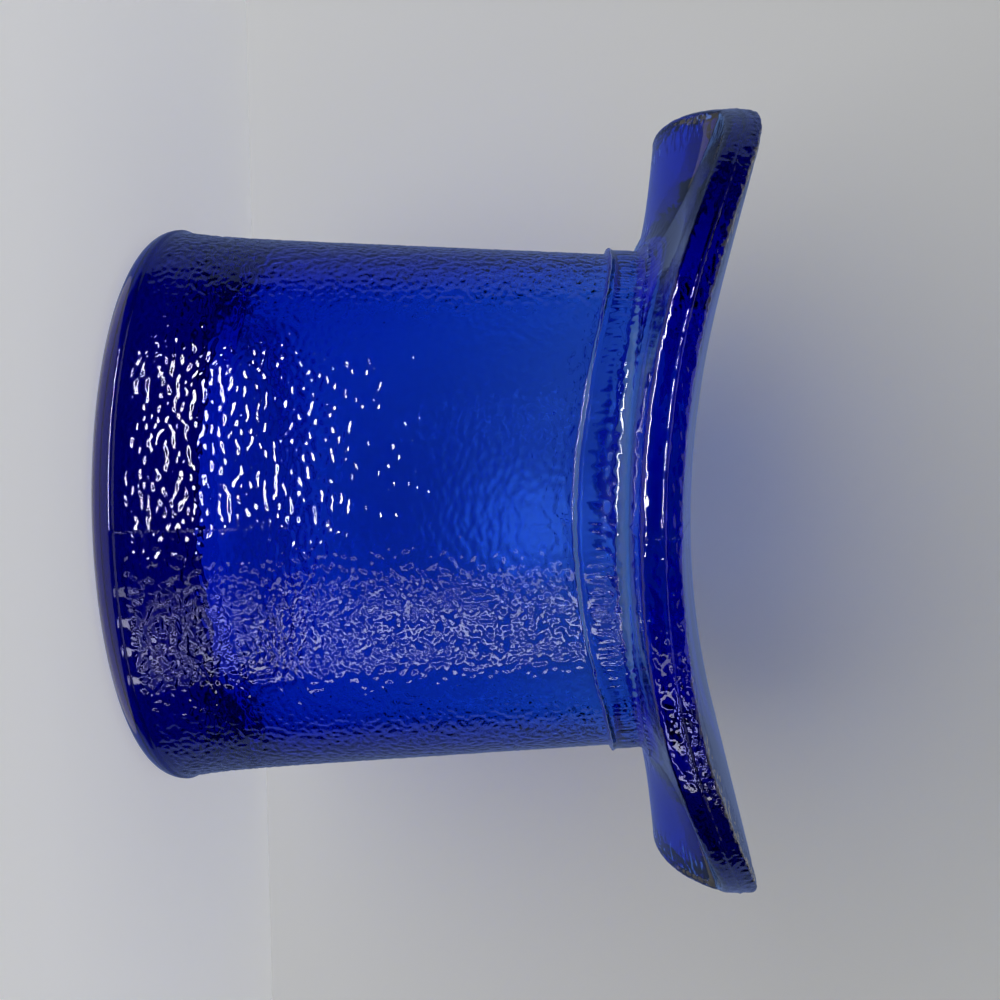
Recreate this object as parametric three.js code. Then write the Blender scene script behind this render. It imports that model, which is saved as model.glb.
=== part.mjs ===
import * as THREE from "three";

// Pressed glass ashtray in the shape of a top hat, in millimetres.
// The hat stands on the closed end of its crown, with its mouth and brim up (+Z).
// The origin is the centre of the flat closed end.
// X runs to the two risen ends of the brim, Y to its two lowered sides.

// Crown, outside
const FOOT_CORNER_RADIUS = 2.5;
const CROWN_FOOT_RADIUS = 30.2; // straight taper of the wall carried down to height 0
const CROWN_NECK_RADIUS = 27.85; // radius of the wall at the hat band
const FOOT_FLARE = 0.93; // extra radius at the closed end, dying away upwards
const FOOT_FLARE_REACH = 3.6;

// Hat band, a smooth raised strip under the brim
const BAND_HEIGHT = 45.9; // lower edge of the band, averaged around the hat
const BAND_SADDLE = 2.8; // rise of that edge at the ends, and fall at the sides
const BAND_CORNER_LIFT = 0.33; // rise of that edge halfway between ends and sides
const BAND_RELIEF = 0.45;
const BAND_RIDGE = 0.2; // bead along the band's lower edge, over the relief
const BAND_RIDGE_WIDTH = 1.1;
const BAND_FILLET = 0.9; // hollow corner between the band and the brim

// Brim
const BRIM_HALF_LENGTH = 41.6; // along X
const BRIM_HALF_WIDTH = 40.8; // along Y
const BRIM_SQUARENESS = 2.38; // 2 is an oval, more is squarer
const BRIM_ROOT_HEIGHT = 50.2; // lower face of the brim where it leaves the band
const BRIM_ROOT_SADDLE = 2.6;
const BRIM_SWEEP = 0.67; // power of the rise from the root to the rim
const RIM_HEIGHT = 54.9; // mould line in the middle of the rim, averaged
const RIM_SADDLE = 4.6;
const RIM_CORNER_LIFT = 1.75; // rise halfway between the ends and the sides
const RIM_END_DIP = 0.7; // slight dip in the middle of each end
const RIM_BELOW = 2.1; // glass below the mould line
const RIM_ABOVE = 1.7; // glass above it
const RIM_BULGE = 1.0; // how far the rounded rim stands out
const END_RISE = 1.9; // extra height of the rim at each end
const END_RISE_REACH = 32; // distance from the XZ plane at which that rise begins
const END_RISE_BLEND = 22; // distance over which it grows to its full height
const END_THICKENING = 2.5; // extra glass under the middle of each end
const END_HALF_WIDTH = 16; // distance from the XZ plane at which that glass begins
const END_BULGE = 0.5; // extra bulge of the rim there

// Inside
const LIP_HEIGHT = 57.55; // top of the smooth lip around the mouth, averaged
const LIP_SADDLE = 3.5;
const MOUTH_RADIUS = 24.1;
const LIP_WIDTH = 2.2;
const LIP_DEPTH = 2.6;
const FLOOR_RADIUS = 22.0;
const FLOOR_CORNER_RADIUS = 5.0;
const BASE_THICKNESS = 7.4;

// Fineness of the facets
const STEPS_AROUND = 84;
const STEPS_FOOT_CORNER = 5;
const STEPS_WALL = 8;
const STEPS_BAND_RIDGE = 4;
const STEPS_BAND_FILLET = 3;
const STEPS_BRIM_FACE = 6;
const STEPS_RIM = 8;
const STEPS_LIP = 4;
const STEPS_CAVITY = 4;
const STEPS_FLOOR_CORNER = 5;

const GLASS_BLUE = 0x0c23b4;

function mix(from, to, share) {
  return from + (to - from) * share;
}

function wave(angle, times) {
  return Math.cos(times * angle);
}

// Outside radius of the crown at a height.
function wallRadius(height) {
  const taper = mix(CROWN_FOOT_RADIUS, CROWN_NECK_RADIUS, height / BAND_HEIGHT);
  return taper + FOOT_FLARE * Math.exp(-height / FOOT_FLARE_REACH);
}

function bandHeight(angle) {
  return BAND_HEIGHT + BAND_SADDLE * wave(angle, 2) - BAND_CORNER_LIFT * wave(angle, 4);
}

function brimRootHeight(angle) {
  return BRIM_ROOT_HEIGHT + BRIM_ROOT_SADDLE * wave(angle, 2);
}

function lipHeight(angle) {
  return LIP_HEIGHT + LIP_SADDLE * wave(angle, 2);
}

function endRise(angle) {
  const beside = BRIM_HALF_WIDTH * Math.abs(Math.sin(angle));
  const share = Math.min(1, Math.max(0, (END_RISE_REACH - beside) / END_RISE_BLEND));
  return END_RISE * share * share * (3 - 2 * share);
}

// 1 in the middle of an end of the brim, falling to 0 where its thickening stops.
function endShare(angle) {
  const beside = (BRIM_HALF_WIDTH * Math.sin(angle)) / END_HALF_WIDTH;
  return Math.max(0, 1 - beside * beside) ** 0.8;
}

// Height of the mould line that runs around the middle of the rim.
function rimHeight(angle) {
  const saddle = RIM_SADDLE * wave(angle, 2);
  const corners = RIM_CORNER_LIFT * wave(angle, 4);
  return RIM_HEIGHT + saddle - corners - RIM_END_DIP * wave(angle, 6) + endRise(angle);
}

// Glass below the mould line.
function rimBelow(angle) {
  return RIM_BELOW + END_THICKENING * endShare(angle);
}

function rimBulge(angle) {
  return RIM_BULGE + END_BULGE * endShare(angle);
}

// Distance from the axis to the mould line: a rounded, slightly square outline.
function rimRadius(angle) {
  const x = Math.abs(Math.cos(angle)) / BRIM_HALF_LENGTH;
  const y = Math.abs(Math.sin(angle)) / BRIM_HALF_WIDTH;
  return Math.pow(x ** BRIM_SQUARENESS + y ** BRIM_SQUARENESS, -1 / BRIM_SQUARENESS);
}

// Points [radius, height] of a quarter ellipse about a centre, the first one left out.
function quarter(centre, across, up, fromAngle, toAngle, steps) {
  const points = [];
  for (let i = 1; i <= steps; i += 1) {
    const angle = mix(fromAngle, toAngle, i / steps);
    points.push([centre[0] + across * Math.cos(angle), centre[1] + up * Math.sin(angle)]);
  }
  return points;
}

function footAndWall(angle) {
  const footRadius = wallRadius(FOOT_CORNER_RADIUS) - FOOT_CORNER_RADIUS;
  const centre = [footRadius, FOOT_CORNER_RADIUS];
  const corner = FOOT_CORNER_RADIUS;
  const points = [[footRadius, 0]];
  points.push(...quarter(centre, corner, corner, -Math.PI / 2, 0, STEPS_FOOT_CORNER));
  for (let i = 1; i <= STEPS_WALL; i += 1) {
    const height = mix(FOOT_CORNER_RADIUS, bandHeight(angle), (i / STEPS_WALL) ** 1.5);
    points.push([wallRadius(height), height]);
  }
  return points;
}

// The raised band, from the bead on its lower edge to the hollow corner under the brim.
function band(angle) {
  const points = [];
  for (let i = 1; i <= STEPS_BAND_RIDGE; i += 1) {
    const share = i / STEPS_BAND_RIDGE;
    const height = bandHeight(angle) + share * BAND_RIDGE_WIDTH;
    const relief = BAND_RELIEF * Math.sin((share * Math.PI) / 2);
    points.push([wallRadius(height) + relief + BAND_RIDGE * Math.sin(share * Math.PI), height]);
  }
  const filletHeight = brimRootHeight(angle) - BAND_FILLET;
  const radius = wallRadius(filletHeight) + BAND_RELIEF;
  points.push([radius, filletHeight]);
  const centre = [radius + BAND_FILLET, filletHeight];
  points.push(...quarter(centre, BAND_FILLET, BAND_FILLET, Math.PI, Math.PI / 2, STEPS_BAND_FILLET));
  return points;
}

function brimLowerFace(angle) {
  const root = wallRadius(brimRootHeight(angle)) + BAND_RELIEF + BAND_FILLET;
  const edge = rimRadius(angle) - rimBulge(angle);
  const edgeHeight = rimHeight(angle) - rimBelow(angle);
  const points = [];
  for (let i = 1; i <= STEPS_BRIM_FACE; i += 1) {
    const share = i / STEPS_BRIM_FACE;
    const height = mix(brimRootHeight(angle), edgeHeight, share ** BRIM_SWEEP);
    points.push([mix(root, edge, share), height]);
  }
  return points;
}

function rim(angle) {
  const bulge = rimBulge(angle);
  const centre = [rimRadius(angle) - bulge, rimHeight(angle)];
  const half = STEPS_RIM / 2;
  return [
    ...quarter(centre, bulge, rimBelow(angle), -Math.PI / 2, 0, half),
    ...quarter(centre, bulge, RIM_ABOVE, 0, Math.PI / 2, half),
  ];
}

function brimUpperFace(angle) {
  const root = MOUTH_RADIUS + LIP_WIDTH;
  const edge = rimRadius(angle) - rimBulge(angle);
  const edgeHeight = rimHeight(angle) + RIM_ABOVE;
  const points = [];
  for (let i = 1; i <= STEPS_BRIM_FACE; i += 1) {
    const share = 1 - i / STEPS_BRIM_FACE;
    const height = mix(lipHeight(angle), edgeHeight, share);
    points.push([mix(root, edge, share), height]);
  }
  return points;
}

function lipAndCavity(angle) {
  const lipBottom = lipHeight(angle) - LIP_DEPTH;
  const lipCentre = [MOUTH_RADIUS + LIP_WIDTH, lipBottom];
  const points = quarter(lipCentre, LIP_WIDTH, LIP_DEPTH, Math.PI / 2, Math.PI, STEPS_LIP);
  const cornerTop = BASE_THICKNESS + FLOOR_CORNER_RADIUS;
  for (let i = 1; i <= STEPS_CAVITY; i += 1) {
    const share = i / STEPS_CAVITY;
    points.push([mix(MOUTH_RADIUS, FLOOR_RADIUS, share), mix(lipBottom, cornerTop, share)]);
  }
  const corner = FLOOR_CORNER_RADIUS;
  const centre = [FLOOR_RADIUS - corner, cornerTop];
  points.push(...quarter(centre, corner, corner, 0, -Math.PI / 2, STEPS_FLOOR_CORNER));
  return points;
}

// Outline [radius, height] of the glass at one angle, from the foot to the cavity floor.
function outlineAt(angle) {
  return [
    ...footAndWall(angle),
    ...band(angle),
    ...brimLowerFace(angle),
    ...rim(angle),
    ...brimUpperFace(angle),
    ...lipAndCavity(angle),
  ];
}

// Closed surface through the outlines at every angle, with a centre point at each end.
function hatGeometry() {
  const positions = [0, 0, 0];
  let rings = 0;
  for (let i = 0; i < STEPS_AROUND; i += 1) {
    const angle = (i / STEPS_AROUND) * Math.PI * 2;
    const outline = outlineAt(angle);
    rings = outline.length;
    for (const [radius, height] of outline) {
      positions.push(radius * Math.cos(angle), radius * Math.sin(angle), height);
    }
  }
  positions.push(0, 0, BASE_THICKNESS);

  const footCentre = 0;
  const floorCentre = positions.length / 3 - 1;
  const at = (i, ring) => 1 + (i % STEPS_AROUND) * rings + ring;
  const faces = [];
  for (let i = 0; i < STEPS_AROUND; i += 1) {
    faces.push(footCentre, at(i + 1, 0), at(i, 0));
    for (let ring = 0; ring + 1 < rings; ring += 1) {
      faces.push(at(i, ring), at(i + 1, ring), at(i + 1, ring + 1));
      faces.push(at(i, ring), at(i + 1, ring + 1), at(i, ring + 1));
    }
    faces.push(floorCentre, at(i, rings - 1), at(i + 1, rings - 1));
  }

  const geometry = new THREE.BufferGeometry();
  geometry.setAttribute("position", new THREE.Float32BufferAttribute(positions, 3));
  geometry.setIndex(faces);
  geometry.computeVertexNormals();
  return geometry;
}

function hatGlass() {
  const material = new THREE.MeshStandardMaterial({
    color: GLASS_BLUE,
    roughness: 0.06,
    metalness: 0,
  });
  const mesh = new THREE.Mesh(hatGeometry(), material);
  mesh.name = "hat_glass";
  return mesh;
}

const ashtray = new THREE.Group();
ashtray.name = "top_hat_ashtray";
ashtray.add(hatGlass());

export default ashtray;
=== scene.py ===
import math

import bpy
import numpy as np
from mathutils import Matrix, Vector, noise


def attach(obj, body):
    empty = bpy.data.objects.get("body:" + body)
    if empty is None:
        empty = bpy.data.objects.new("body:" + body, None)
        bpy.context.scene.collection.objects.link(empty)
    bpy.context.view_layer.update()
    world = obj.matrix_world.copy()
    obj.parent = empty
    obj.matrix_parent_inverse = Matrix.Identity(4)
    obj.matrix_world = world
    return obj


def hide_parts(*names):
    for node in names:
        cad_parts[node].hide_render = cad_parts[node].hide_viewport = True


# A pressed cobalt glass ashtray in the shape of a top hat, standing on the closed end of its crown.
# Lengths are in millimetres up to the point where a mesh, lamp or camera is made.
MM = 0.001

# The glass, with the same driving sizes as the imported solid
FOOT_CORNER_RADIUS = 2.5
CROWN_FOOT_RADIUS = 30.2
CROWN_NECK_RADIUS = 27.85
FOOT_FLARE = 0.93
FOOT_FLARE_REACH = 3.6
BAND_HEIGHT = 45.9
BAND_SADDLE = 2.8
BAND_CORNER_LIFT = 0.33
BAND_RELIEF = 0.45
BAND_RIDGE = 0.2
BAND_RIDGE_WIDTH = 1.1
BAND_FILLET = 0.9
BRIM_HALF_LENGTH = 41.6
BRIM_HALF_WIDTH = 40.8
BRIM_SQUARENESS = 2.38
BRIM_ROOT_HEIGHT = 50.2
BRIM_ROOT_SADDLE = 2.6
BRIM_SWEEP = 0.67
RIM_HEIGHT = 54.9
RIM_SADDLE = 4.6
RIM_CORNER_LIFT = 1.75
RIM_END_DIP = 0.7
RIM_BELOW = 2.1
RIM_ABOVE = 1.7
RIM_BULGE = 1.0
END_RISE = 1.9
END_RISE_REACH = 32.0
END_RISE_BLEND = 22.0
END_THICKENING = 2.5
END_HALF_WIDTH = 16.0
END_BULGE = 0.5
END_FALLOFF = 0.8  # below 1 the thickening stays full for longer and then stops faster
LIP_HEIGHT = 57.55
LIP_SADDLE = 3.5
MOUTH_RADIUS = 24.1
LIP_WIDTH = 2.2
LIP_DEPTH = 2.6
FLOOR_RADIUS = 22.0
FLOOR_CORNER_RADIUS = 5.0
BASE_THICKNESS = 7.4

# Fineness of the mesh
STEPS_AROUND = 1600
STEPS_FOOT_FACE = 4
STEPS_FOOT_CORNER = 10
STEPS_WALL = 460
STEPS_BAND_RIDGE = 20
STEPS_BAND_WALL = 14
STEPS_BAND_FILLET = 14
STEPS_BRIM_FACE = 48
STEPS_RIM = 52
STEPS_UPPER_FACE = 40
STEPS_LIP = 12
STEPS_CAVITY = 24
STEPS_FLOOR_CORNER = 10
FLOOR_RINGS = (0.66, 0.33)  # shares of the flat floor's radius
CURVE_SAMPLES = 800  # points that an oval is measured with before it is divided evenly

# Pebbled relief
SKIN = 0.16  # the smooth surface lies this far inside the solid, so that the relief stays in it
PEBBLE_DEPTH = 0.095
PEBBLES_AROUND = 1.3  # pebbles per millimetre around the hat
PEBBLES_ALONG = 2.0  # and along its axis
HALVES_APART = 40.0  # shift of the noise between the mould's two halves, so that they differ
WARP_SCALE = 0.35  # slow bending of the pattern: its scale and its size
WARP_SIZE = 0.4
WARP_SEED = 1  # without a seed, noise_vector takes its offsets from the clock
FINE_SCALE = 2.1  # a finer pattern over the pebbles, weak on the crown and clear on the brim
FINE_ON_CROWN = 0.12
FINE_ON_BRIM = 0.5
FINE_BRIM_START = RIM_HEIGHT - 5.0
PEBBLE_START = 3.0  # height above the foot where the relief begins
PEBBLE_EDGE = 0.5  # how far it takes to reach its full strength
PEBBLE_WALL = 0.75  # strength beside the cavity; 1 is the strength beside the thick base
PEBBLE_WALL_START, PEBBLE_WALL_REACH = 7.0, 5.0  # heights over which it falls to that
PEBBLE_NECK = 0.65  # strength at the neck, where the glass was polished longest
PEBBLE_NECK_START, PEBBLE_NECK_REACH = 19.0, 19.0
ROOT_PEBBLES = 0.85  # strength in the hollow corner under the brim
ROOT_PEBBLES_START, ROOT_PEBBLES_REACH = 0.6, 0.3  # shares of the band's height
ROOT_PEBBLES_END = 0.25  # share of the brim's lower face over which they fade
RIM_GRAIN = 0.45  # strength on the polished lower half of the rim; 1 on the upper half
RIM_GRAIN_START, RIM_GRAIN_REACH = 0.15, 0.4  # shares of the rim's upper half
UPPER_FACE_START, UPPER_FACE_REACH = 0.8, 0.1  # shares of the upper face, from the mouth to the rim

# Mould seams at X = 0, and the thin raised line around the middle of the rim
SEAM_HEIGHT = 0.13
SEAM_WIDTH = 0.16
SEAM_LEAST_RADIUS = 27.0  # the seams are on the outside only
SEAM_LEAST = 0.12  # strength where they are polished away
SEAM_FADE_START, SEAM_FADE_REACH = 8.0, 8.0  # heights over which they fade above the base
SEAM_ON_BAND = 0.5
SEAM_BAND_START, SEAM_BAND_REACH = 43.5, 2.0  # heights over which they come back
MOULD_LINE_HEIGHT = 0.09
MOULD_LINE_WIDTH = 0.13
MOULD_LINE_DEPTH = 0.5  # the line stays this close to the rim's outermost radius
RIM_FLATNESS_BELOW = 0.5  # 1 is a round rim, less is flatter with a firmer edge
RIM_FLATNESS_ABOVE = 0.35

# The band's lower edge and the fine lines along the axis, where the band slid against the mould
BAND_EDGE_START, BAND_EDGE_WIDTH = 0.15, 0.35  # where along the axis the edge rises
BEAD_END_START, BEAD_END_WIDTH = 0.5, BAND_RIDGE_WIDTH - 0.6  # where its bead sinks again
BAND_EDGE_WOBBLE = 0.12
WOBBLE_RADIUS, WOBBLE_HEIGHT = 9.0, 5.0  # the circle through the noise that the edge follows
WOBBLE_QUICK_SCALE, WOBBLE_QUICK_SHARE = 3, 0.6
STREAK_DEPTH = 0.06
STREAKS_AROUND = 2.4  # lines per millimetre around the band
STREAKS_ALONG = 0.25

# Slow waves of the cavity's wall
CAVITY_WAVES = 0.05
CAVITY_WAVES_AROUND = 0.16
CAVITY_WAVES_ALONG = 0.1

# The glass as a material. Each noise is a scale and a detail, each range is cut from the noise.
GLASS_IOR = 1.52
COBALT_BLUE = (0.024, 0.450, 0.945, 1.0)  # what the volume lets through
COBALT_DENSITY = 410.0
CLEAR_TINT = (0.98, 0.99, 1.0, 1.0)
FILMED_TINT = (0.92, 0.95, 1.0, 1.0)
FILM_NOISE, FILM_RANGE = (130.0, 2.0), (0.4, 0.7)
POLISHED_TO_SMUDGED = (0.012, 0.034)  # roughness of the clean glass and of the smudges
SMUDGE_NOISE, SMUDGE_RANGE = (85.0, 3.0), (0.42, 0.68)
SPECK_ROUGHNESS = 0.05
SPECK_NOISE, SPECK_RANGE = (620.0, 1.0), (0.70, 0.78)
SCUFF_ROUGHNESS = 0.16
SCUFF_HEIGHTS = (0.1, 0.5)  # the scuffs of the standing face end between these heights
GRAIN_DEPTH = 0.003
GRAIN_NOISE = (1700.0, 2.0)
PEEL_DEPTH = 0.006
PEEL_NOISE = (300.0, 1.0)

# The camera, placed as in the photograph, with the hat's axis across the picture
CAMERA_PLACE = (-9.594, -128.300, 35.542)
CAMERA_FORWARD = (0.0741, 0.9972, 0.0089)
CAMERA_UP = (-0.9972, 0.0740, 0.0114)
CAMERA_LENS = 40.32
CAMERA_SENSOR = 36.0
CAMERA_CLIP = (5.0, 20000.0)

# Floor and backdrop
STAGE_WIDTH = 1600.0
STAGE_COLOUR = (0.70, 0.705, 0.70, 1.0)
FLOOR_DROP = 0.03  # the floor lies this far below the foot, so that the two faces do not coincide
FLOOR_GLOW = 0.375  # light the floor adds where it is looked at, directly or by way of the glass
FLOOR_GLOW_AT_BACKDROP = 0.255  # less there, because the backdrop lights the floor as well
FLOOR_GLOW_FADE = (-40.0, 44.0)  # from where to where along Y it falls
BACKDROP_GAP = 44.0  # from the hat's axis to the upright backdrop
BACKDROP_HEIGHT = 500.0
BACKDROP_GLOW = 0.3  # light the backdrop adds away from the hat, where the fill is weak
BACKDROP_GLOW_CENTRE = (0.0, BACKDROP_GAP, 35.0)
BACKDROP_GLOW_FADE = (95.0, 260.0)  # distances from that point

# Cards that only reflections meet: glowing sheets that are painted reflections. The dark one in
# front is a painted dark reflection that keeps the glass deep blue.
CARD_DISTANCE = 700.0
CARD_HALF_HEIGHT = 500.0
CARD_STEPS = 24
# The cards glow blue: a painted blue sheen where the glass is seen at grazing angles.
CARD_COLOUR = (0.36, 0.50, 1.0, 1.0)
DARK_REACH = 105.0  # degrees to each side of the camera; beyond them the card is a lighter blue
DARK_CARD = 0.004
GREY_CARD = 0.34

# Surroundings
PALE = 0.55  # brightness of the background that the camera and the glass see
DAYLIGHT = 0.30  # brightness of the surroundings that light the diffuse surfaces

# Lamps aimed at the hat. Azimuth 0 is the camera's side, 90 is +X, and all angles are in degrees.
LAMP_DISTANCE = 600.0
LAMP_AIM = 25.0
KEY_AZIMUTH = -30.0
KEY_ELEVATION = -22.5
KEY_SPREAD = (66.0, 8.5)  # width and height, seen from the hat
KEY_RADIANCE = 28.0
SIDE_LAMPS = ((28, 2.5), (40, 5.0), (52, 6.5), (65, 5.5))  # azimuth and radiance
SIDE_ELEVATION = 1.0
SIDE_SPREAD = (3.0, 36.0)

# Lamps that light the stage
FILL_SIZE = (750.0, 450.0)
FILL_PLACE = (-160.0, -340.0, -260.0)
FILL_AIM = (0.0, BACKDROP_GAP, 20.0)
FILL_RADIANCE = 1.95
PATCH_SIZE = (15.0, 12.0)
PATCH_PLACE = (8.5, 34.5, 37.0)
PATCH_RADIANCE = 2.0


def mix(start, end, share):
    return start + (end - start) * share


def smooth(share):
    share = np.clip(share, 0, 1)
    return share * share * (3 - 2 * share)


def wave(angle, times):
    return np.cos(times * angle)


def wall_radius(height):
    taper = mix(CROWN_FOOT_RADIUS, CROWN_NECK_RADIUS, height / BAND_HEIGHT)
    return taper + FOOT_FLARE * np.exp(-height / FOOT_FLARE_REACH)


def band_height(angle):
    return BAND_HEIGHT + BAND_SADDLE * wave(angle, 2) - BAND_CORNER_LIFT * wave(angle, 4)


def brim_root_height(angle):
    return BRIM_ROOT_HEIGHT + BRIM_ROOT_SADDLE * wave(angle, 2)


def lip_height(angle):
    return LIP_HEIGHT + LIP_SADDLE * wave(angle, 2)


def end_share(angle):
    """1 in the middle of an end of the brim, falling to 0 where its thickening stops."""
    beside = BRIM_HALF_WIDTH * np.sin(angle) / END_HALF_WIDTH
    return np.maximum(0, 1 - beside * beside) ** END_FALLOFF


def rim_height(angle):
    saddle = RIM_SADDLE * wave(angle, 2)
    corners = RIM_CORNER_LIFT * wave(angle, 4)
    beside = BRIM_HALF_WIDTH * np.abs(np.sin(angle))
    end = END_RISE * smooth((END_RISE_REACH - beside) / END_RISE_BLEND)
    return RIM_HEIGHT + saddle - corners - RIM_END_DIP * wave(angle, 6) + end


def rim_below(angle):
    return RIM_BELOW + END_THICKENING * end_share(angle)


def rim_bulge(angle):
    return RIM_BULGE + END_BULGE * end_share(angle)


def rim_radius(angle):
    x = np.abs(np.cos(angle)) / BRIM_HALF_LENGTH
    y = np.abs(np.sin(angle)) / BRIM_HALF_WIDTH
    return (x**BRIM_SQUARENESS + y**BRIM_SQUARENESS) ** (-1 / BRIM_SQUARENESS)


def squared_quarter(flatness, steps):
    """Evenly spaced points of a quarter of a unit oval, from its side (1, 0) to its top (0, 1)."""
    turn = np.linspace(0, math.pi / 2, CURVE_SAMPLES)
    across, up = np.cos(turn) ** flatness, np.sin(turn) ** flatness
    across[-1] = 0.0
    passed = np.append(0, np.cumsum(np.hypot(np.diff(across), np.diff(up))))
    even = np.linspace(0, passed[-1], steps + 1)
    return np.interp(even, passed, across), np.interp(even, passed, up)


class Rings:
    """The glass surface as rings of points from the foot's centre to the cavity's centre.

    Each point also has its strength of the pebbled relief, the slow waves and the streaks."""

    def __init__(self, angle):
        self.angle = angle
        self.radius = []
        self.height = []
        self.pebble = []
        self.waves = []
        self.streaks = []

    def add(self, radius, height, pebble=0.0, waves=0.0, streaks=0.0):
        flat = np.ones_like(self.angle)
        self.radius.append(radius * flat)
        self.height.append(height * flat)
        self.pebble.append(pebble * flat)
        self.waves.append(waves * flat)
        self.streaks.append(streaks * flat)

    def quarter(self, centre, across, up, start, end, steps, pebble=0.0):
        """A quarter of an oval around a centre (radius, height), between two angles in degrees."""
        for i in range(1, steps + 1):
            turn = math.radians(mix(start, end, i / steps))
            radius = centre[0] + across * math.cos(turn)
            height = centre[1] + up * math.sin(turn)
            self.add(radius, height, pebble)


def add_foot_and_wall(rings):
    corner = FOOT_CORNER_RADIUS
    foot = wall_radius(corner) - corner
    for i in range(STEPS_FOOT_FACE):
        rings.add(foot * (i + 1) / STEPS_FOOT_FACE, 0.0)
    rings.quarter((foot, corner), corner, corner, -90, 0, STEPS_FOOT_CORNER)
    top = band_height(rings.angle)
    for i in range(1, STEPS_WALL + 1):
        height = mix(corner, top, i / STEPS_WALL)
        start = np.clip((height - PEBBLE_START) / PEBBLE_EDGE, 0, 1)
        end = np.clip((top - height) / PEBBLE_EDGE, 0, 1)
        beside_cavity = smooth((height - PEBBLE_WALL_START) / PEBBLE_WALL_REACH)
        at_neck = smooth((height - PEBBLE_NECK_START) / PEBBLE_NECK_REACH)
        strength = mix(mix(1.0, PEBBLE_WALL, beside_cavity), PEBBLE_NECK, at_neck)
        rings.add(wall_radius(height), height, start * end * strength)


def band_wobble(angle):
    """How far the band's lower edge strays along the axis at each angle."""
    places = [
        Vector((WOBBLE_RADIUS * math.cos(a), WOBBLE_RADIUS * math.sin(a), WOBBLE_HEIGHT))
        for a in angle
    ]
    slow = np.array([noise.noise(place) for place in places])
    quick = np.array([noise.noise(place * WOBBLE_QUICK_SCALE) for place in places])
    return BAND_EDGE_WOBBLE * (slow + WOBBLE_QUICK_SHARE * quick)


def add_band_edge(rings):
    wobble = band_wobble(rings.angle)
    for i in range(1, STEPS_BAND_RIDGE + 1):
        along = i / STEPS_BAND_RIDGE * BAND_RIDGE_WIDTH
        height = band_height(rings.angle) + along
        edge = smooth((along - BAND_EDGE_START + wobble) / BAND_EDGE_WIDTH)
        sunk = smooth((along - BEAD_END_START + wobble) / BEAD_END_WIDTH)
        bead = BAND_RIDGE * edge * (1 - sunk)
        rings.add(wall_radius(height) + BAND_RELIEF * edge + bead, height)


def add_band(rings):
    add_band_edge(rings)
    low = band_height(rings.angle) + BAND_RIDGE_WIDTH
    high = brim_root_height(rings.angle) - BAND_FILLET
    for i in range(1, STEPS_BAND_WALL + 1):
        share = i / STEPS_BAND_WALL
        height = mix(low, high, share)
        pebble = ROOT_PEBBLES * smooth((share - ROOT_PEBBLES_START) / ROOT_PEBBLES_REACH)
        streaks = math.sin(math.pi * share)
        rings.add(wall_radius(height) + BAND_RELIEF, height, pebble, streaks=streaks)
    centre = (wall_radius(high) + BAND_RELIEF + BAND_FILLET, high)
    rings.quarter(centre, BAND_FILLET, BAND_FILLET, 180, 90, STEPS_BAND_FILLET, ROOT_PEBBLES)


def add_brim_lower_face(rings):
    angle = rings.angle
    root = wall_radius(brim_root_height(angle)) + BAND_RELIEF + BAND_FILLET
    edge = rim_radius(angle) - rim_bulge(angle)
    low, high = brim_root_height(angle), rim_height(angle) - rim_below(angle)
    for i in range(1, STEPS_BRIM_FACE + 1):
        share = i / STEPS_BRIM_FACE
        pebble = ROOT_PEBBLES * np.clip(1 - share / ROOT_PEBBLES_END, 0, 1)
        rings.add(mix(root, edge, share), mix(low, high, share**BRIM_SWEEP), pebble)


def add_rim(rings):
    angle = rings.angle
    bulge, middle = rim_bulge(angle), rim_height(angle)
    edge = rim_radius(angle) - bulge
    across, up = squared_quarter(RIM_FLATNESS_BELOW, STEPS_RIM // 2)
    for out, down in zip(across[-2::-1], up[-2::-1]):
        rings.add(edge + bulge * out, middle - rim_below(angle) * down, RIM_GRAIN)
    across, up = squared_quarter(RIM_FLATNESS_ABOVE, STEPS_RIM // 2)
    for out, rise in zip(across[1:], up[1:]):
        grain = mix(RIM_GRAIN, 1.0, smooth((rise - RIM_GRAIN_START) / RIM_GRAIN_REACH))
        rings.add(edge + bulge * out, middle + RIM_ABOVE * rise, grain)


def add_brim_upper_face(rings):
    angle = rings.angle
    inner = MOUTH_RADIUS + LIP_WIDTH
    edge = rim_radius(angle) - rim_bulge(angle)
    for i in range(1, STEPS_UPPER_FACE + 1):
        share = 1 - i / STEPS_UPPER_FACE
        height = mix(lip_height(angle), rim_height(angle) + RIM_ABOVE, share)
        pebble = np.clip((share - UPPER_FACE_START) / UPPER_FACE_REACH, 0, 1)
        rings.add(mix(inner, edge, share), height, pebble)


def add_lip_and_cavity(rings):
    low = lip_height(rings.angle) - LIP_DEPTH
    rings.quarter((MOUTH_RADIUS + LIP_WIDTH, low), LIP_WIDTH, LIP_DEPTH, 90, 180, STEPS_LIP)
    corner = FLOOR_CORNER_RADIUS
    corner_top = BASE_THICKNESS + corner
    for i in range(1, STEPS_CAVITY + 1):
        share = i / STEPS_CAVITY
        radius = mix(MOUTH_RADIUS, FLOOR_RADIUS, share)
        rings.add(radius, mix(low, corner_top, share), waves=math.sin(share * math.pi))
    flat_radius = FLOOR_RADIUS - corner
    rings.quarter((flat_radius, corner_top), corner, corner, 0, -90, STEPS_FLOOR_CORNER)
    for share in FLOOR_RINGS:
        rings.add(flat_radius * share, BASE_THICKNESS)


def hat_rings():
    rings = Rings(np.arange(STEPS_AROUND) * 2 * math.pi / STEPS_AROUND)
    add_foot_and_wall(rings)
    add_band(rings)
    add_brim_lower_face(rings)
    add_rim(rings)
    add_brim_upper_face(rings)
    add_lip_and_cavity(rings)
    return rings


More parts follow.
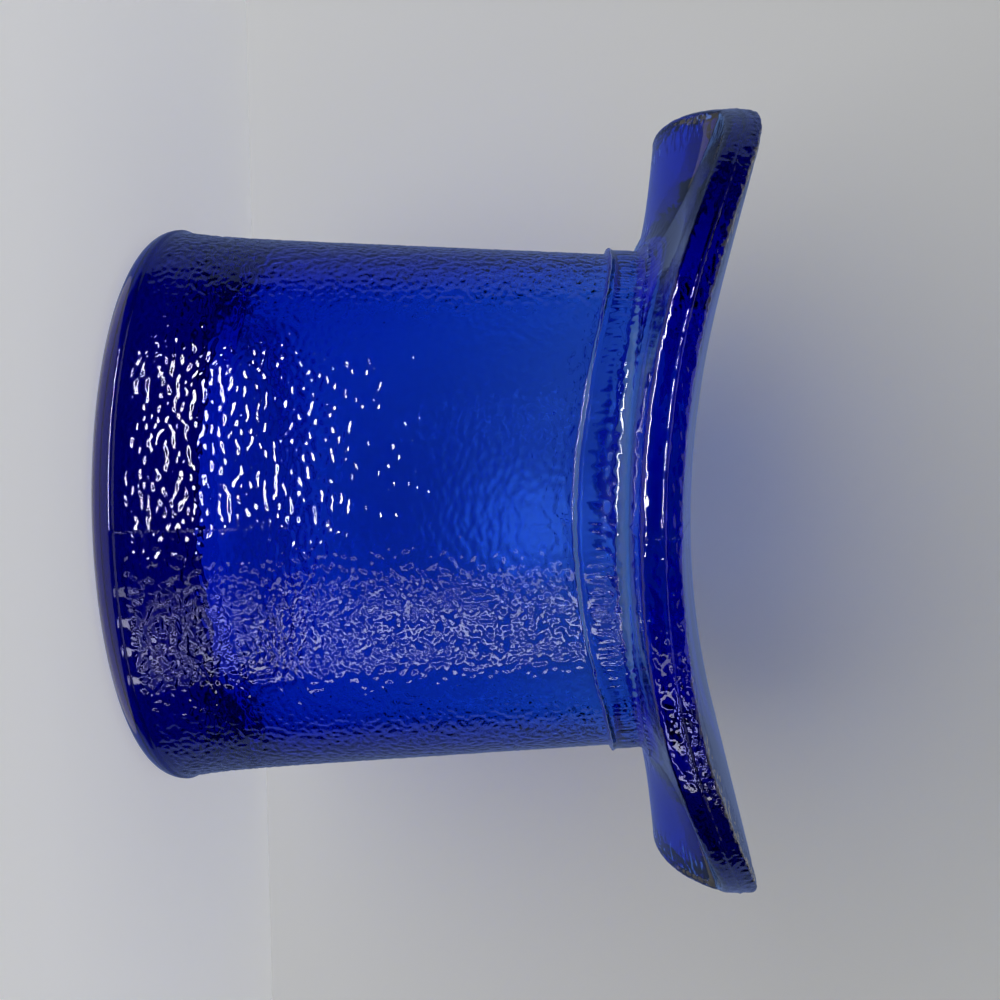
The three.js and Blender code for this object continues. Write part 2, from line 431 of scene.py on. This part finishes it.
def grid_normals(points):
    """Outward normals of a grid of points [ring, step around, xyz]."""
    around = np.roll(points, -1, axis=1) - np.roll(points, 1, axis=1)
    along = np.gradient(points, axis=0)
    normal = np.cross(around, along)
    length = np.linalg.norm(normal, axis=2, keepdims=True)
    return normal / np.maximum(length, 1e-9)


def pebble_noise(x, y, z):
    half = HALVES_APART if x > 0 else 0.0
    warp = noise.noise_vector(Vector((x, y, z)) * WARP_SCALE) * WARP_SIZE
    where = Vector((x * PEBBLES_AROUND, y * PEBBLES_AROUND, z * PEBBLES_ALONG + half)) + warp
    fine = FINE_ON_BRIM if z > FINE_BRIM_START else FINE_ON_CROWN
    return noise.noise(where) + fine * noise.noise(where * FINE_SCALE)


def wave_noise(x, y, z):
    around, along = CAVITY_WAVES_AROUND, CAVITY_WAVES_ALONG
    return noise.noise(Vector((x * around, y * around, z * along)))


def streak_noise(x, y, z):
    around, along = STREAKS_AROUND, STREAKS_ALONG
    return noise.noise(Vector((x * around, y * around, z * along)))


def noise_over(points, strength, noise_at):
    """What noise_at gives at each point whose strength is above 0, and 0 at the others."""
    heights = np.zeros(strength.shape)
    for place in zip(*np.nonzero(strength > 0)):
        heights[place] = noise_at(*points[place])
    return heights


def seam_strength(height):
    """The mould seams are clear beside the thick base and on the band, and polished away between."""
    low = 1 - smooth((height - SEAM_FADE_START) / SEAM_FADE_REACH)
    high = SEAM_ON_BAND * smooth((height - SEAM_BAND_START) / SEAM_BAND_REACH)
    return np.maximum(SEAM_LEAST, np.maximum(low, high))


def seams(points, radius, height):
    across = np.exp(-((points[:, :, 0] / SEAM_WIDTH) ** 2))
    return across * (radius > SEAM_LEAST_RADIUS) * seam_strength(height)


def mould_line(radius, height, angle):
    line = MOULD_LINE_HEIGHT * np.exp(-(((height - rim_height(angle)) / MOULD_LINE_WIDTH) ** 2))
    return line * (radius > rim_radius(angle) - MOULD_LINE_DEPTH)


def surface_relief(rings, points):
    """How far each point is moved outwards from the solid's surface."""
    radius, height = np.array(rings.radius), np.array(rings.height)
    mask, waves, streaks = np.array(rings.pebble), np.array(rings.waves), np.array(rings.streaks)
    above_foot = np.zeros(mask.shape)
    above_foot[STEPS_FOOT_FACE + STEPS_FOOT_CORNER:] = 1.0
    noise.seed_set(WARP_SEED)
    pebbles = np.clip(0.5 + noise_over(points, mask, pebble_noise), 0, 1)
    relief = PEBBLE_DEPTH * (pebbles - 1) * mask
    relief += (SEAM_HEIGHT * seams(points, radius, height) - SKIN) * above_foot
    relief += CAVITY_WAVES * noise_over(points, waves, wave_noise) * waves
    relief += STREAK_DEPTH * noise_over(points, streaks, streak_noise) * streaks
    return relief + mould_line(radius, height, rings.angle)


def closed_faces(rows, columns):
    """Quads between neighbouring rings, and a fan to one more point at each end."""
    index = np.arange(rows * columns).reshape(rows, columns)
    beside = np.roll(index, -1, axis=1)
    quads = np.stack([index[:-1], beside[:-1], beside[1:], index[1:]], axis=2)
    faces = quads.reshape(-1, 4).tolist()
    first, last = rows * columns, rows * columns + 1
    faces += [[first, int(b), int(a)] for a, b in zip(index[0], beside[0])]
    faces += [[last, int(a), int(b)] for a, b in zip(index[-1], beside[-1])]
    return faces


def hat_mesh():
    rings = hat_rings()
    radius = np.array(rings.radius)
    sides = [radius * np.cos(rings.angle), radius * np.sin(rings.angle), np.array(rings.height)]
    points = np.stack(sides, axis=2)
    points = points + grid_normals(points) * surface_relief(rings, points)[:, :, None]
    ends = [[0, 0, 0], [0, 0, BASE_THICKNESS - SKIN]]
    vertices = np.vstack([points.reshape(-1, 3), ends]) * MM
    mesh = bpy.data.meshes.new("hat")
    mesh.from_pydata(vertices.tolist(), [], closed_faces(*radius.shape))
    mesh.shade_smooth()
    return mesh


def new_material(name):
    material = bpy.data.materials.new(name)
    material.use_nodes = True
    tree = material.node_tree
    tree.nodes.clear()
    return material, tree.nodes, tree.links


def noise_node(nodes, links, place, scale_and_detail):
    texture = nodes.new("ShaderNodeTexNoise")
    texture.inputs["Scale"].default_value = scale_and_detail[0]
    texture.inputs["Detail"].default_value = scale_and_detail[1]
    links.new(place, texture.inputs["Vector"])
    return texture.outputs["Fac"]


def in_range(nodes, links, value, before, after, curve="SMOOTHSTEP"):
    """The value carried from one range to another and held inside it."""
    ramp = nodes.new("ShaderNodeMapRange")
    ramp.interpolation_type = curve
    ramp.inputs["From Min"].default_value, ramp.inputs["From Max"].default_value = before
    ramp.inputs["To Min"].default_value, ramp.inputs["To Max"].default_value = after
    links.new(value, ramp.inputs["Value"])
    return ramp.outputs["Result"]


def math_node(nodes, links, operation, first, second):
    """A Math node's result for a socket and either another socket or a number."""
    result = nodes.new("ShaderNodeMath")
    result.operation = operation
    links.new(first, result.inputs[0])
    if isinstance(second, float):
        result.inputs[1].default_value = second
    else:
        links.new(second, result.inputs[1])
    return result.outputs["Value"]


def coordinate(nodes, links, place, axis):
    split = nodes.new("ShaderNodeSeparateXYZ")
    links.new(place, split.inputs["Vector"])
    return split.outputs[axis]


def glass_roughness(nodes, links, place):
    """Fire-polished glass with faint smudges, a few dull specks and a scuffed standing face."""
    smudge = noise_node(nodes, links, place, SMUDGE_NOISE)
    smudges = in_range(nodes, links, smudge, SMUDGE_RANGE, POLISHED_TO_SMUDGED)
    speck = noise_node(nodes, links, place, SPECK_NOISE)
    specks = in_range(nodes, links, speck, SPECK_RANGE, (0.0, SPECK_ROUGHNESS))
    height = coordinate(nodes, links, place, "Z")
    scuff_heights = [limit * MM for limit in SCUFF_HEIGHTS]
    scuffs = in_range(nodes, links, height, scuff_heights, (SCUFF_ROUGHNESS, 0.0))
    uneven = math_node(nodes, links, "ADD", smudges, specks)
    return math_node(nodes, links, "ADD", uneven, scuffs)


def glass_tint(nodes, links, place):
    """Slightly uneven clearness of the surface."""
    tint = nodes.new("ShaderNodeMix")
    tint.data_type = "RGBA"
    tint.inputs["A"].default_value = CLEAR_TINT
    tint.inputs["B"].default_value = FILMED_TINT
    film = noise_node(nodes, links, place, FILM_NOISE)
    links.new(in_range(nodes, links, film, FILM_RANGE, (0.0, 1.0)), tint.inputs["Factor"])
    return tint.outputs["Result"]


def glass_bump(nodes, links, place):
    """Orange peel of the cooled skin, with a finer grain under it."""
    grain = nodes.new("ShaderNodeBump")
    grain.inputs["Distance"].default_value = GRAIN_DEPTH * MM
    links.new(noise_node(nodes, links, place, GRAIN_NOISE), grain.inputs["Height"])
    peel = nodes.new("ShaderNodeBump")
    peel.inputs["Distance"].default_value = PEEL_DEPTH * MM
    links.new(noise_node(nodes, links, place, PEEL_NOISE), peel.inputs["Height"])
    links.new(grain.outputs["Normal"], peel.inputs["Normal"])
    return peel.outputs["Normal"]


def cobalt_glass():
    material, nodes, links = new_material("cobalt_glass")
    output = nodes.new("ShaderNodeOutputMaterial")
    place = nodes.new("ShaderNodeTexCoord").outputs["Object"]
    glass = nodes.new("ShaderNodeBsdfPrincipled")
    glass.inputs["Transmission Weight"].default_value = 1.0
    glass.inputs["IOR"].default_value = GLASS_IOR
    links.new(glass_tint(nodes, links, place), glass.inputs["Base Color"])
    links.new(glass_roughness(nodes, links, place), glass.inputs["Roughness"])
    links.new(glass_bump(nodes, links, place), glass.inputs["Normal"])
    links.new(glass.outputs["BSDF"], output.inputs["Surface"])
    absorb = nodes.new("ShaderNodeVolumeAbsorption")
    absorb.inputs["Color"].default_value = COBALT_BLUE
    absorb.inputs["Density"].default_value = COBALT_DENSITY
    links.new(absorb.outputs["Volume"], output.inputs["Volume"])
    return material


def make_hat():
    hat = bpy.data.objects.new("hat", hat_mesh())
    bpy.context.scene.collection.objects.link(hat)
    hat.data.materials.append(cobalt_glass())
    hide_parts("hat_glass")
    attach(hat, "root")


def looked_at(nodes, links):
    """1 for rays from the camera, from a reflection or through the glass, else 0."""
    path = nodes.new("ShaderNodeLightPath")
    total = path.outputs["Is Camera Ray"]
    for kind in ("Is Glossy Ray", "Is Transmission Ray"):
        total = math_node(nodes, links, "MAXIMUM", total, path.outputs[kind])
    return total


def pale_cloth(nodes, links, glow_level):
    """A matt pale surface that adds its own light where it is looked at."""
    cloth = nodes.new("ShaderNodeBsdfDiffuse")
    cloth.inputs["Color"].default_value = STAGE_COLOUR
    glow = nodes.new("ShaderNodeEmission")
    strength = math_node(nodes, links, "MULTIPLY", looked_at(nodes, links), glow_level)
    links.new(strength, glow.inputs["Strength"])
    both = nodes.new("ShaderNodeAddShader")
    links.new(cloth.outputs["BSDF"], both.inputs[0])
    links.new(glow.outputs["Emission"], both.inputs[1])
    return both.outputs["Shader"]


def floor_material():
    material, nodes, links = new_material("floor_pale")
    output = nodes.new("ShaderNodeOutputMaterial")
    place = nodes.new("ShaderNodeTexCoord").outputs["Object"]
    fade = [limit * MM for limit in FLOOR_GLOW_FADE]
    levels = (FLOOR_GLOW, FLOOR_GLOW_AT_BACKDROP)
    level = in_range(nodes, links, coordinate(nodes, links, place, "Y"), fade, levels, "LINEAR")
    links.new(pale_cloth(nodes, links, level), output.inputs["Surface"])
    return material


def backdrop_material():
    """Pale in front and clear from behind, so that the hat can be seen from all sides."""
    material, nodes, links = new_material("backdrop_pale")
    output = nodes.new("ShaderNodeOutputMaterial")
    away = nodes.new("ShaderNodeVectorMath")
    away.operation = "DISTANCE"
    links.new(nodes.new("ShaderNodeTexCoord").outputs["Object"], away.inputs[0])
    away.inputs[1].default_value = [side * MM for side in BACKDROP_GLOW_CENTRE]
    fade = [distance * MM for distance in BACKDROP_GLOW_FADE]
    level = in_range(nodes, links, away.outputs["Value"], fade, (0.0, BACKDROP_GLOW))
    clear = nodes.new("ShaderNodeBsdfTransparent")
    side = nodes.new("ShaderNodeNewGeometry")
    choice = nodes.new("ShaderNodeMixShader")
    links.new(side.outputs["Backfacing"], choice.inputs["Fac"])
    links.new(pale_cloth(nodes, links, level), choice.inputs[1])
    links.new(clear.outputs["BSDF"], choice.inputs[2])
    links.new(choice.outputs["Shader"], output.inputs["Surface"])
    return material


def card_material(name, brightness):
    material, nodes, links = new_material(name)
    output = nodes.new("ShaderNodeOutputMaterial")
    card = nodes.new("ShaderNodeEmission")
    card.inputs["Color"].default_value = CARD_COLOUR
    card.inputs["Strength"].default_value = brightness
    links.new(card.outputs["Emission"], output.inputs["Surface"])
    return material


def stage_object(name, vertices, faces, material):
    mesh = bpy.data.meshes.new(name)
    mesh.from_pydata(vertices, [], faces)
    mesh.materials.append(material)
    thing = bpy.data.objects.new(name, mesh)
    bpy.context.scene.collection.objects.link(thing)
    return thing


def make_sheet(name, first, last, material):
    """A flat sheet along X between two points (y, z), facing -Y or up."""
    side = STAGE_WIDTH / 2 * MM
    vertices = [(x, y * MM, z * MM) for y, z in (first, last) for x in (-side, side)]
    return stage_object(name, vertices, [(0, 1, 3, 2)], material)


def make_card(name, first, last, brightness):
    """An upright curved glowing card behind the lamps, between two azimuths, which only reflections
    meet: a painted reflection.
    """
    vertices = []
    for i in range(CARD_STEPS + 1):
        turn = math.radians(mix(first, last, i / CARD_STEPS))
        x, y = CARD_DISTANCE * math.sin(turn) * MM, -CARD_DISTANCE * math.cos(turn) * MM
        vertices += [(x, y, -CARD_HALF_HEIGHT * MM), (x, y, CARD_HALF_HEIGHT * MM)]
    faces = [(2 * i, 2 * i + 2, 2 * i + 3, 2 * i + 1) for i in range(CARD_STEPS)]
    card = stage_object(name, vertices, faces, card_material(name, brightness))
    card.visible_camera = False
    card.visible_diffuse = False
    card.visible_transmission = False
    card.visible_shadow = False


def make_stage():
    front, behind = (-STAGE_WIDTH / 2, -FLOOR_DROP), (STAGE_WIDTH / 2, -FLOOR_DROP)
    floor = make_sheet("floor", front, behind, floor_material())
    floor.visible_shadow = False
    floor.visible_diffuse = False
    floor.visible_glossy = False
    foot, top = (BACKDROP_GAP, -FLOOR_DROP), (BACKDROP_GAP, BACKDROP_HEIGHT)
    backdrop = make_sheet("backdrop", foot, top, backdrop_material())
    backdrop.visible_glossy = False
    # Painted reflections: a near-black card on the camera's side and a lighter blue one all around
    # the rest.
    make_card("card_dark", -DARK_REACH, DARK_REACH, DARK_CARD)
    make_card("card_grey", DARK_REACH, 360 - DARK_REACH, GREY_CARD)


def add_lamp(name, place, away, size, radiance):
    """A rectangular lamp, in metres, that shines against the direction away."""
    lamp = bpy.data.lights.new(name, "AREA")
    lamp.shape = "RECTANGLE"
    lamp.size, lamp.size_y = size
    lamp.energy = radiance * math.pi * lamp.size * lamp.size_y
    thing = bpy.data.objects.new(name, lamp)
    thing.location = place
    thing.rotation_mode = "QUATERNION"
    thing.rotation_quaternion = away.to_track_quat("Z", "Y")
    thing.visible_camera = False
    bpy.context.scene.collection.objects.link(thing)
    return thing


def hat_lamp(name, azimuth, elevation, spread, radiance):
    """A soft lamp aimed at the hat, with its place, width and height as angles in degrees."""
    a, e = math.radians(azimuth), math.radians(elevation)
    away = Vector((math.sin(a) * math.cos(e), -math.cos(a) * math.cos(e), math.sin(e)))
    place = Vector((0, 0, LAMP_AIM * MM)) + away * LAMP_DISTANCE * MM
    size = [2 * LAMP_DISTANCE * math.tan(math.radians(angle / 2)) * MM for angle in spread]
    lamp = add_lamp(name, place, away, size, radiance)
    lamp.visible_diffuse = False


def fill_light():
    """A wide lamp low in front for the stage, which throws the hat's shadow up the backdrop."""
    place = Vector(FILL_PLACE)
    size = [side * MM for side in FILL_SIZE]
    lamp = add_lamp("fill", place * MM, place - Vector(FILL_AIM), size, FILL_RADIANCE)
    lamp.visible_glossy = False


def patch_light():
    """A small lamp between hat and backdrop: the lighter patch of backdrop seen through the neck."""
    size = [side * MM for side in PATCH_SIZE]
    lamp = add_lamp("patch", Vector(PATCH_PLACE) * MM, Vector((0, -1, 0)), size, PATCH_RADIANCE)
    lamp.visible_glossy = False
    lamp.visible_transmission = False


def make_lights():
    """One long key lamp for the bright marks on the pebbles, and narrow ones on the other side."""
    hat_lamp("key", KEY_AZIMUTH, KEY_ELEVATION, KEY_SPREAD, KEY_RADIANCE)
    for azimuth, radiance in SIDE_LAMPS:
        hat_lamp(f"side_{azimuth}", azimuth, SIDE_ELEVATION, SIDE_SPREAD, radiance)
    fill_light()
    patch_light()


def make_world():
    world = bpy.data.worlds.new("pale")
    world.use_nodes = True
    nodes, links = world.node_tree.nodes, world.node_tree.links
    nodes.clear()
    output = nodes.new("ShaderNodeOutputWorld")
    sky = nodes.new("ShaderNodeBackground")
    sky.inputs["Color"].default_value = (1.0, 1.0, 1.0, 1.0)
    extra = math_node(nodes, links, "MULTIPLY", looked_at(nodes, links), PALE - DAYLIGHT)
    links.new(math_node(nodes, links, "ADD", extra, DAYLIGHT), sky.inputs["Strength"])
    links.new(sky.outputs["Background"], output.inputs["Surface"])
    bpy.context.scene.world = world


def make_camera():
    forward = Vector(CAMERA_FORWARD).normalized()
    right = forward.cross(Vector(CAMERA_UP)).normalized()
    up = right.cross(forward)
    data = bpy.data.cameras.new("camera")
    data.lens = CAMERA_LENS
    data.sensor_width = CAMERA_SENSOR
    data.clip_start, data.clip_end = [distance * MM for distance in CAMERA_CLIP]
    camera = bpy.data.objects.new("camera", data)
    turn = Matrix((right, up, -forward)).transposed().to_4x4()
    camera.matrix_world = Matrix.Translation(Vector(CAMERA_PLACE) * MM) @ turn
    bpy.context.scene.collection.objects.link(camera)
    bpy.context.scene.camera = camera


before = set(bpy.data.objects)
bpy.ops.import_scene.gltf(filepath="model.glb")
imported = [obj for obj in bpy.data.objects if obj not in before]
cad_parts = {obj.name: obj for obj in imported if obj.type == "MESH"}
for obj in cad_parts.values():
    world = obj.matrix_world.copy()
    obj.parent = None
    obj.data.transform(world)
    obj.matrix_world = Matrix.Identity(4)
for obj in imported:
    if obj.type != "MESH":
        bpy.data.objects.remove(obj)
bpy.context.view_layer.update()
make_camera()
make_hat()
make_stage()
make_lights()
make_world()
bpy.context.scene.view_settings.view_transform = "Standard"
